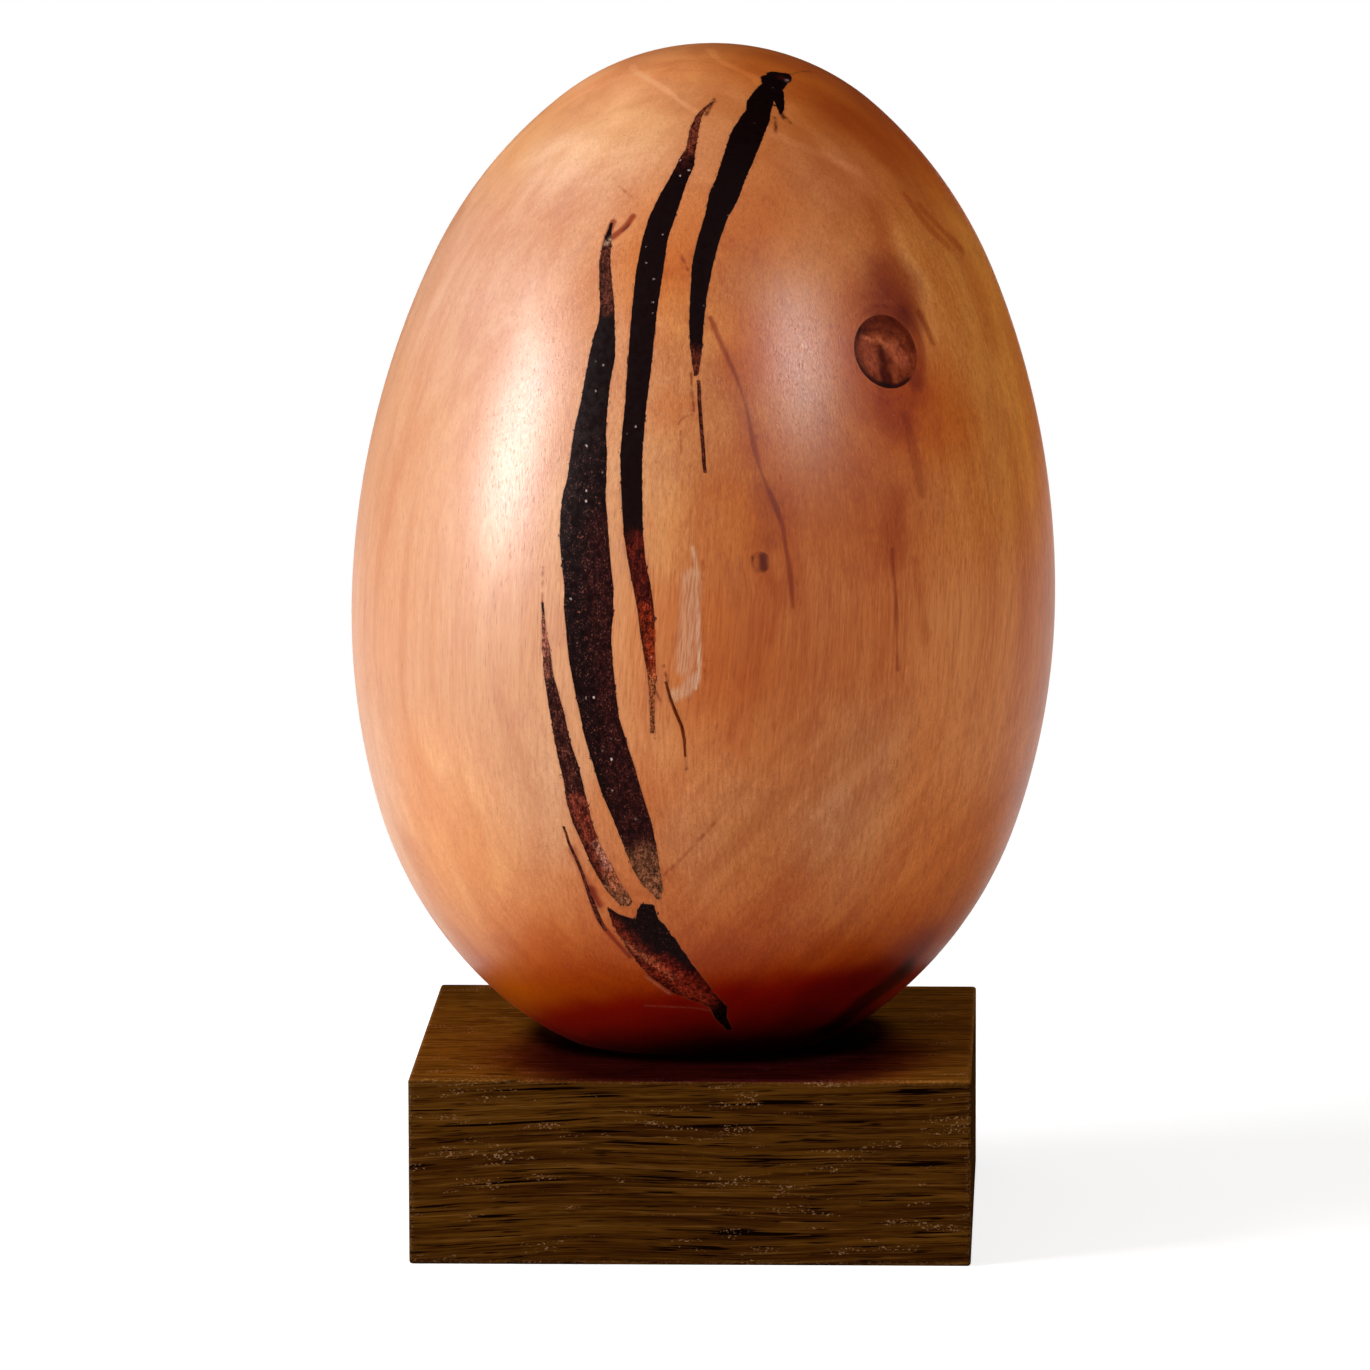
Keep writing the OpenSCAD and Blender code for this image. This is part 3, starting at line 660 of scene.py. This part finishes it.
class Finish(Mixer):
    """A material being mixed, with its colour laid on in coats."""

    def __init__(self, name):
        self.material = bpy.data.materials.new(name)
        self.material.use_nodes = True
        super().__init__(self.material.node_tree)
        self.shader = self.tree.nodes["Principled BSDF"]

    def own_place(self):
        """The place in the piece's own frame, in mm."""
        return self.stretch(self.add("TexCoord", {}, "Object"), (MM, MM, MM))

    def attribute(self, name, output="Fac"):
        return self.add("Attribute", {}, output, attribute_name=name)

    def parts_of(self, place):
        return self.node("SeparateXYZ", {"Vector": place}).outputs

    def turned(self, place, x=0, y=0):
        """The place turned by degrees about X and Y."""
        return self.add("Mapping", {"Vector": place, "Rotation": (math.radians(x), math.radians(y), 0)})

    def stretch(self, place, size):
        """The place divided by a size along each axis."""
        return self.add("Mapping", {"Vector": place, "Scale": [1 / length for length in size]})

    def cloud(self, place, size, detail, rough, wander=0.0):
        """Uneven values from zero to one, with a size along each axis."""
        inputs = {"Vector": self.stretch(place, size), "Scale": 1.0, "Detail": detail,
                  "Roughness": rough, "Distortion": wander}
        return self.add("TexNoise", inputs)

    def soft(self, value, low, high, bottom=0.0, top=1.0):
        """Goes smoothly from bottom to top while the value goes from low to high."""
        inputs = {"Value": value, "From Min": low, "From Max": high, "To Min": bottom, "To Max": top}
        return self.add("MapRange", inputs, interpolation_type="SMOOTHSTEP")

    def mix(self, amount, first, second, blend="MIX"):
        """A mix of two colours, which are inputs 6 and 7 and output 2 of the node."""
        return self.add("Mix", {0: amount, 6: first, 7: second}, 2, data_type="RGBA", blend_type=blend)

    def coat(self, amount, colour, blend="MIX"):
        """Lays a colour over the coats so far."""
        self.colour = self.mix(amount, self.colour, colour, blend)

    def grey(self, value):
        """A colour with the same value in each channel."""
        return self.add("CombineColor", {"Red": value, "Green": value, "Blue": value})

    def between(self, amount, first, second):
        """A value between two others."""
        return self.maths("ADD", first, self.times(self.maths("SUBTRACT", second, first), amount))

    def dents(self, height, depth, strength):
        bump = self.add("Bump", {"Height": height, "Distance": depth * MM, "Strength": strength})
        self.plug(self.shader.inputs["Normal"], bump)

    def done(self, roughness, gloss=0.5, metallic=0.0):
        """Joins the coats to the shader and gives the material."""
        inputs = {"Base Color": self.colour, "Roughness": roughness, "Specular IOR Level": gloss,
                  "Metallic": metallic}
        for socket, value in inputs.items():
            self.plug(self.shader.inputs[socket], value)
        return self.material


WHITE = (1, 1, 1)
WOOD_GLOSS = 0.12
KNOT_GLOSS = 0.03
GUM_GLOSS = 0.025
OAK_GLOSS = 0.0
BLACK_GUM = (0.006, 0.0012, 0.0014)


def egg_wood(name, with_veins):
    wood = Finish(name)
    place = wood.attribute("grain", "Vector")
    parts = wood.parts_of(place)
    sideways, height = parts["Y"], parts["Z"]
    broad = wood.cloud(place, (6, 9, 120), 3, 0.55, 0.6)
    rings = wood.cloud(place, (1.6, 12, 160), 2, 0.5, 0.3)
    patches = wood.cloud(place, (3.6, 3.6, 8), 3, 0.6, 0.4)
    streaks = wood.cloud(place, (0.42, 0.42, 10), 3, 0.6)
    fibres = wood.cloud(place, (0.16, 0.16, 3.2), 2, 0.6)
    tangled = wood.cloud(place, (0.3, 0.3, 0.5), 2, 0.6, 1.6)
    tangle_height = wood.maths("ADD", height, wood.soft(broad, 0.2, 0.8, -12, 12))
    fibres = wood.between(wood.soft(tangle_height, 66, 40), fibres, tangled)

    # The grain is fainter at the left and in the crown; at the left this is painted light, where the
    # lamp's sheen washes the grain out
    clear = wood.times(wood.soft(sideways, -32, 4, 0.4), wood.soft(height, 138, 108, 0.4))
    peach = (0.72, 0.32, 0.125)
    tan = (0.6, 0.21, 0.07)
    wood.colour = wood.mix(wood.soft(broad, 0.3, 0.7, 0.1, 0.9), peach, tan)
    wood.coat(wood.times(wood.soft(rings, 0.5, 0.72, 0, 0.4), clear), (0.5, 0.145, 0.042))
    wood.coat(wood.times(wood.soft(patches, 0.48, 0.7, 0, 0.5), clear), (0.54, 0.19, 0.085))
    dark_part = (0.42, 0.11, 0.032)
    light_part = (0.86, 0.43, 0.2)
    for grain, dark_amount, light_amount in ((streaks, 0.42, 0.34), (fibres, 0.36, 0.26)):
        wood.coat(wood.times(wood.soft(grain, 0.5, 0.7, 0, dark_amount), clear), dark_part)
        wood.coat(wood.times(wood.soft(grain, 0.48, 0.3, 0, light_amount), clear), light_part)

    # Curly grain lies across the right haunch
    curl = wood.cloud(wood.turned(place, x=-48), (14, 44, 2.4), 2, 0.5, 0.3)
    at_right = wood.times(wood.soft(sideways, -4, 10), wood.soft(height, 66, 44))
    wood.coat(wood.times(at_right, wood.soft(curl, 0.42, 0.66, 0, 0.28)), (0.42, 0.12, 0.036))
    wood.coat(wood.times(at_right, wood.soft(curl, 0.42, 0.26, 0, 0.22)), (0.84, 0.42, 0.19))
    open_pores = wood.soft(wood.cloud(place, (0.2, 0.2, 2.2), 1, 0.5), 0.66, 0.74)
    wood.coat(wood.times(open_pores, 0.3), (0.18, 0.04, 0.014))
    wood.coat(1.0, wood.attribute("tint", "Vector"), "MULTIPLY")

    if with_veins:
        edge = wood.attribute("edge")
        nicks = wood.cloud(place, (0.5, 0.5, 1.3), 3, 0.65)
        from_nicks = wood.maths("SUBTRACT", edge, wood.soft(nicks, 0.56, 0.8, 0, 0.55))
        wood.coat(wood.soft(edge, 0, 0.5, 0.25, 0), (0.34, 0.09, 0.03))
        wood.coat(wood.soft(from_nicks, 0, 0.08, 1, 0), (0.05, 0.009, 0.005))
        powder = wood.times(wood.attribute("chalk"), wood.soft(fibres, 0.62, 0.38, 0.35, 1.1))
        wood.coat(powder, (0.76, 0.52, 0.34))

    wood.dents(wood.maths("SUBTRACT", fibres, open_pores), 0.035, 0.5)
    return wood.done(wood.soft(fibres, 0.3, 0.7, 0.3, 0.38), WOOD_GLOSS)


def gum(name, specks, top, amount, pale_amount):
    """Hard black gum, polished flush, with the stains of the vein's own marks. Specks of wood lie in
    it below a height above the table, in mm."""
    fill = Finish(name)
    place = fill.own_place()
    clots = fill.cloud(place, (0.8, 0.8, 1), 3, 0.65, 0.5)
    fine = fill.cloud(place, (0.22, 0.22, 0.3), 3, 0.7, 0.5)
    fibrous = fill.cloud(place, (0.3, 0.3, 3), 2, 0.6, 0.3)
    mottled = fill.times(fill.soft(clots, 0.36, 0.62, 0.3, 1.2), fill.soft(fine, 0.38, 0.6, 0.3, 1.4))
    mottled = fill.times(mottled, fill.soft(fibrous, 0.36, 0.62, 0.5, 1.3))
    stain = fill.mix(1.0, fill.attribute("stain", "Vector"), fill.grey(mottled), "MULTIPLY")
    fill.colour = BLACK_GUM
    fill.coat(1.0, stain, "ADD")
    crumbs = fill.times(fill.soft(fine, 0.55, 0.66), fill.soft(clots, 0.42, 0.6))
    uneven = fill.maths("ADD", fill.parts_of(place)["Z"], fill.soft(clots, 0.2, 0.8, -8, 8))
    reach = fill.times(fill.soft(uneven, top + 8, top - 10), amount)
    fill.coat(fill.times(crumbs, reach), specks)

    # Pale specks: a few of the cells, in clusters
    cells = fill.node("TexVoronoi", {"Vector": fill.stretch(place, (1.1, 0.9, 1.3)), "Scale": 1.0}).outputs
    few = fill.soft(fill.add("SeparateColor", {"Color": cells["Color"]}), 0.78, 0.84)
    ragged = fill.maths("ADD", cells["Distance"], fill.soft(fine, 0.2, 0.8, -0.12, 0.12))
    clusters = fill.soft(fill.cloud(place, (4, 4, 6), 1, 0.5), 0.42, 0.6, 0, pale_amount)
    fill.coat(fill.times(fill.times(fill.soft(ragged, 0.17, 0.09), few), clusters), (0.62, 0.46, 0.4))
    fill.dents(clots, 0.03, 0.3)
    return fill.done(fill.soft(clots, 0.3, 0.8, 0.25, 0.45), GUM_GLOSS)


def knot_wood(name, light, dark):
    """Dense wood of a branch, with its rings round the middle of the knot."""
    wood = Finish(name)
    place = wood.attribute("in_knot", "Vector")
    whorl = wood.cloud(place, (1.1, 1.5, 3), 3, 0.6, 1.2)
    fine = wood.cloud(place, (0.25, 0.45, 2), 2, 0.6, 0.5)
    wood.colour = wood.mix(wood.soft(whorl, 0.35, 0.7), light, dark)
    wood.coat(wood.soft(fine, 0.48, 0.7, 0, 0.5), (0.07, 0.016, 0.007))
    wood.coat(1.0, wood.attribute("tint", "Vector"), "MULTIPLY")
    wood.dents(fine, 0.04, 0.4)
    return wood.done(wood.soft(fine, 0.3, 0.8, 0.3, 0.45), KNOT_GLOSS)


def oak_finish():
    """Dark oak with its grain along X: open pores, darker bands, and pale crumbs on worn edges."""
    oak = Finish("oak")
    own = oak.own_place()
    wave = oak.cloud(own, (55, 40, 16), 1, 0.5)
    lift = oak.add("CombineXYZ", {"Z": oak.soft(wave, 0.2, 0.8, -0.9, 0.9)})
    place = oak.turned(oak.add("VectorMath", {0: own, 1: lift}, operation="ADD"), y=1.2)
    bands = oak.cloud(place, (60, 12, 2.2), 3, 0.6, 0.8)
    lines = oak.cloud(place, (22, 0.8, 0.38), 4, 0.7, 0.2)
    fine = oak.cloud(place, (4.5, 0.3, 0.16), 2, 0.6)
    pores = oak.cloud(place, (7, 0.5, 0.26), 2, 0.5, 0.1)
    long_pores = oak.cloud(place, (18, 1.2, 0.5), 2, 0.5, 0.15)
    oak.colour = oak.mix(oak.soft(bands, 0.35, 0.65), (0.1, 0.036, 0.004), (0.05, 0.015, 0.0018))
    oak.coat(oak.soft(lines, 0.48, 0.66, 0, 0.9), (0.016, 0.0042, 0.0008))
    oak.coat(oak.soft(lines, 0.46, 0.3, 0, 0.65), (0.19, 0.08, 0.014))
    oak.coat(oak.soft(fine, 0.5, 0.68, 0, 0.5), (0.025, 0.007, 0.001))
    opened = oak.most(oak.soft(pores, 0.6, 0.67), oak.soft(long_pores, 0.62, 0.67))
    oak.coat(opened, (0.004, 0.0012, 0.0006))

    parts = oak.parts_of(own)
    grit = oak.cloud(own, (0.45, 0.3, 0.26), 2, 0.7)
    clusters = oak.cloud(place, (7, 5, 1.1), 2, 0.5)
    crumbs = oak.times(oak.soft(grit, 0.56, 0.64), oak.soft(clusters, 0.58, 0.66))
    from_edge = oak.soft(block_edge_distance(oak, parts), 0, 1, 1, 0)
    worn = oak.times(from_edge, oak.soft(grit, 0.5, 0.62))
    oak.coat(oak.times(worn, 0.55), (0.2, 0.1, 0.04))
    oak.coat(oak.times(crumbs, 0.65), (0.36, 0.19, 0.09))

    # The top and the dish carry painted light and shade: lighter as lit from above, and darkest in the
    # dish and in front of the egg, where its shadow falls
    from_foot = distance_from(oak, parts, 1.5, 0)
    from_shade = distance_from(oak, parts, 2.5, -20)
    painted_top = oak.most(oak.soft(parts[2], BLOCK_H - 0.5, BLOCK_H - 0.2), oak.soft(from_foot, 36, 35))
    # painted light: the top and the dish are made lighter and warmer, as lit from above
    oak.coat(painted_top, (2.5, 2.4, 2.2), "MULTIPLY")
    oak.coat(oak.times(painted_top, 0.3), (0.22, 0.09, 0.008))
    # painted shadow of the egg: a wide pool in front of it, and darkest round its foot in the dish
    for near, end, start, shade in ((from_shade, 36, 24, (0.6, 0.3, 0.4)),
                                    (from_shade, 32, 20, (0.26, 0.14, 0.7)),
                                    (from_foot, 28, 23, (0.1, 0.07, 0.07))):
        oak.coat(oak.times(painted_top, oak.soft(near, end, start)), shade, "MULTIPLY")
    oak.dents(oak.maths("SUBTRACT", lines, oak.times(opened, 1.5)), 0.12, 0.6)
    return oak.done(oak.soft(lines, 0.3, 0.7, 0.55, 0.72), OAK_GLOSS)


def distance_from(oak, parts, x, y):
    """Distance in mm, seen from above, of the surface from an upright line."""
    level = oak.add("CombineXYZ", {"X": oak.maths("SUBTRACT", parts[0], x),
                                   "Y": oak.maths("SUBTRACT", parts[1], y)})
    return oak.add("VectorMath", {0: level}, "Value", operation="LENGTH")


def block_edge_distance(oak, parts):
    """Distance in mm of the block's surface from its nearest edge."""
    from_x, from_y = (oak.maths("SUBTRACT", BLOCK_W / 2, oak.maths("ABSOLUTE", parts[i], 0.0))
                      for i in (0, 1))
    from_end = oak.maths("MINIMUM", oak.maths("SUBTRACT", BLOCK_H, parts[2]), parts[2])
    total = oak.maths("ADD", oak.maths("ADD", from_x, from_y), from_end)
    return oak.maths("SUBTRACT", total, oak.most(oak.most(from_x, from_y), from_end))


def drawn_steel():
    steel = Finish("drawn_steel")
    drawn = steel.cloud(steel.own_place(), (0.3, 0.3, 20), 3, 0.6)
    steel.colour = steel.mix(drawn, (0.5, 0.5, 0.51), (0.62, 0.62, 0.62))
    steel.dents(drawn, 0.004, 0.3)
    return steel.done(steel.soft(drawn, 0.3, 0.7, 0.24, 0.38), metallic=1.0)


def give(piece, material):
    piece.data.materials.clear()
    piece.data.materials.append(material)


def as_part_of_egg(piece, node, material):
    give(piece, material)
    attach(piece, "egg")
    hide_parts(node)


# The egg's pieces
egg = close_copy("egg_body", "egg_skin")
points = egg_places(egg.data)
write(egg, "grain", grain_place(points))
write(egg, "tint", wood_tint(points))
write(egg, "chalk", chalk(points))
as_part_of_egg(egg, "egg_body", egg_wood("egg_wood", with_veins=True))

# Each vein with its slot and gum: the specks' colour and top, and how many specks and pale ones
thin_gum = gum("thin_gum", (0.3, 0.09, 0.04), 200, 0.6, 0.0)
THIN_STAIN = (0.09, 0.016, 0.008)
VEINS = [
    ("main_vein", "dark_gum", gum("main_gum", (0.2, 0.055, 0.035), 116, 0.95, 1.0)),
    ("middle_vein", "dark_gum", gum("middle_gum", (0.26, 0.06, 0.016), 100, 0.5, 1.0)),
    ("crown_vein", "dark_gum", gum("crown_gum", (0.15, 0.05, 0.03), 0, 0.0, 0.4)),
    ("foot_vein", "dark_gum", gum("foot_gum", (0.26, 0.07, 0.025), 60, 0.35, 0.8)),
    ("left_vein", "red_gum", gum("left_gum", (0.3, 0.095, 0.05), 90, 0.8, 1.0)),
    ("hairline_vein", "red_gum", thin_gum),
    ("crack_fill", "red_gum", thin_gum),
]
rims = []
for node, slot, material in VEINS:
    vein = close_copy(node, node + "_skin")
    points = egg_places(vein.data)
    if node in GUM_MARKS:
        stain = gum_stain(points, GUM_MARKS[node])
        bm = bmesh.new()
        bm.from_mesh(vein.data)
        rims += rim_points(bm)
        bm.free()
    else:
        stain = np.tile(THIN_STAIN, (len(points), 1))
    write(vein, "stain", stain)
    as_part_of_egg(vein, node, material)

# The wood's distance in mm from the nearest outline of a vein
rim_tree = tree_of(rims)
from_rim = [min(rim_tree.find(vert.co)[2] / MM, EDGE_REACH) for vert in egg.data.vertices]
write(egg, "edge", np.array(from_rim))

core = knot_wood("knot_core", (0.33, 0.055, 0.016), (0.19, 0.024, 0.008))
bark = knot_wood("bark", (0.3, 0.05, 0.014), (0.17, 0.024, 0.008))
pin_knot_wood = egg_wood("pin_knot_wood", with_veins=False)
KNOTS = [
    ("knot", "knot_wood", core, KNOT_PLACE, KNOT_MARKS),
    ("knot_bark", "bark", bark, KNOT_PLACE, KNOT_MARKS),
    ("pin_knot", "knot_wood", pin_knot_wood, PIN_KNOT_PLACE, PIN_KNOT_MARKS),
]
for node, slot, material, centre, marks in KNOTS:
    plug = close_copy(node, node + "_skin", KNOT_SPACING)
    points = egg_places(plug.data)
    from_centre = points - on_egg(*centre)
    ways = (*axes_of(centre), facing(*centre))
    write(plug, "in_knot", np.stack([from_centre @ way for way in ways], axis=1))
    write(plug, "grain", grain_place(points))
    tint = knot_tint(points, centre, marks)
    write(plug, "tint", tint * wood_tint(points) if node == "pin_knot" else tint)
    as_part_of_egg(plug, node, material)


# The block and the pin
def rounded_block():
    """Merged copy of the block with its bevels' corners taken off, as wear leaves them."""
    bm = merged("base_block")
    bmesh.ops.dissolve_limit(bm, angle_limit=math.radians(0.3), verts=bm.verts, edges=bm.edges)
    corners = [edge for edge in bm.edges if edge.is_manifold
               and math.radians(30) < edge.calc_face_angle() < math.radians(70)
               and max(abs(edge.verts[0].co.x), abs(edge.verts[0].co.y)) > (BLOCK_W / 2 - 1) * MM]
    bmesh.ops.bevel(bm, geom=corners, offset=WEAR * MM, segments=2, profile=0.5,
                    affect="EDGES", material=-1)
    for face in bm.faces:
        face.smooth = True
    block = worked("oak_block", bm)
    block.data.set_sharp_from_angle(angle=math.radians(35))
    block.modifiers.new("even_shading", "WEIGHTED_NORMAL").keep_sharp = True
    return block


block = rounded_block()
give(block, oak_finish())
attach(block, "block")
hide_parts("base_block")
give(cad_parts["pin"], drawn_steel())


# The room: a pale floor, a white background and soft lamps
def white_where_seen(room, plain, seen):
    """The plain shader for light, and the seen one for the camera and reflections."""
    path = room.node("LightPath", {}).outputs
    looked_at = room.most(path["Is Camera Ray"], path["Is Glossy Ray"])
    looked_at = room.most(looked_at, path["Is Transmission Ray"])
    return room.add("MixShader", {0: looked_at, 1: plain, 2: seen})


def background_world(level):
    world = bpy.data.worlds.new("room")
    bpy.context.scene.world = world
    world.use_nodes = True
    room = Mixer(world.node_tree)
    room.tree.nodes.remove(room.tree.nodes["Background"])
    plain = room.add("Background", {"Color": WHITE, "Strength": level})
    white = room.add("Background", {"Color": WHITE, "Strength": 1.0})
    room.plug(room.tree.nodes["World Output"].inputs["Surface"], white_where_seen(room, plain, white))


def panel(name, corners):
    mesh = bpy.data.meshes.new(name)
    mesh.from_pydata(corners, [], [(0, 1, 2, 3)])
    return placed(name, mesh)


def pale_floor(half):
    """Square floor, pale near the block and white away from it."""
    floor = panel("floor", [(-half, -half, 0), (half, -half, 0), (half, half, 0), (-half, half, 0)])
    pale = Finish("pale_floor")
    pale.tree.nodes.remove(pale.shader)
    plain = pale.add("BsdfDiffuse", {"Color": (0.85, 0.85, 0.85)})
    near = pale.add("AddShader", {0: pale.add("Emission", {"Strength": 0.7}), 1: plain})
    away = pale.add("VectorMath", {"Vector": pale.own_place()}, "Value", operation="LENGTH")
    seen = pale.add("MixShader", {0: pale.soft(away, 150, 450), 1: near, 2: pale.add("Emission", {})})
    mixed = white_where_seen(pale, plain, seen)
    pale.plug(pale.tree.nodes["Material Output"].inputs["Surface"], mixed)
    give(floor, pale.material)


def flag_panel(name, colour, corners):
    """Panel seen in reflections alone, that keeps the egg's edges deep."""
    flag = panel(name, corners)
    card = Finish(name)
    card.colour = colour
    give(flag, card.done(roughness=1.0))
    flag.visible_camera = flag.visible_diffuse = flag.visible_shadow = False


def soft_lamp(name, angle, tilt, width, height, level, for_gloss=False, colour=(1, 1, 1)):
    """Soft lamp aimed at the egg's middle. A level of one lights white to white."""
    way = Vector(tuple(direction(angle, tilt)))
    lamp = bpy.data.lights.new(name, "AREA")
    lamp.shape = "RECTANGLE"
    lamp.size = width
    lamp.size_y = height
    lamp.color = colour
    lamp.energy = level * (math.pi * LAMP_DISTANCE) ** 2
    stand = placed(name, lamp)
    stand.location = Vector((0, 0, 0.09)) + way * LAMP_DISTANCE
    stand.rotation_euler = way.to_track_quat("Z", "Y").to_euler()
    stand.visible_diffuse = not for_gloss
    stand.visible_glossy = for_gloss


background_world(0.14)
pale_floor(6)
DARK_CARD = (0.02, 0.02, 0.02)
for name, side, near in (("right_flag", 1, -0.1), ("left_flag", -1, 0.2)):
    far_x, near_x = 0.22 * side, 1.25 * side
    flag_panel(name, DARK_CARD, [(far_x, 1.2, 0.01), (near_x, near, 0.01), (near_x, near, 1.4),
                                 (far_x, 1.2, 1.4)])
flag_panel("top_flag", DARK_CARD, [(-1.25, 1.2, 0.16), (1.25, 1.2, 0.16), (1.25, -0.2, 1.4),
                                   (-1.25, -0.2, 1.4)])
flag_panel("low_flag", (1, 1, 0.85), [(0.05, -0.03, 0.004), (0.16, -0.03, 0.004),
                                          (0.16, 0.13, 0.004), (0.05, 0.13, 0.004)])
soft_lamp("left_light", -67, 15, 0.5, 0.65, level=1.0)
soft_lamp("right_light", 50, 25, 0.3, 0.45, level=0.27)
soft_lamp("left_sheen", -67.6, 16.5, 0.2, 0.42, level=5.0, for_gloss=True, colour=(1, 0.93, 0.92))
soft_lamp("right_sheen", 37, 30.5, 0.08, 0.18, level=1.5, for_gloss=True)

# The camera stands where the photograph was taken from
CAMERA_DISTANCE = 1.4698
CAMERA_TILT = 8.06
CAMERA_ANGLE = 2.09
CAMERA_ROLL = -0.15
CAMERA_AIM = (-0.00181, -0.00007, 0.0739)
back = Vector(tuple(direction(CAMERA_ANGLE, CAMERA_TILT)))
right = Vector(tuple(direction(CAMERA_ANGLE + 90)))
up = back.cross(right)
roll = math.radians(CAMERA_ROLL)
rolled_right = right * math.cos(roll) + up * math.sin(roll)
rolled_up = up * math.cos(roll) - right * math.sin(roll)
lens = bpy.data.cameras.new("camera")
lens.lens = 280.3
lens.sensor_width = 36
lens.sensor_fit = "HORIZONTAL"
lens.clip_end = 50
camera = placed("camera", lens)
camera_axes = Matrix((rolled_right, rolled_up, back)).transposed().to_4x4()
camera.matrix_world = Matrix.Translation(Vector(CAMERA_AIM) + back * CAMERA_DISTANCE) @ camera_axes
bpy.context.scene.camera = camera
bpy.context.scene.view_settings.view_transform = "Standard"
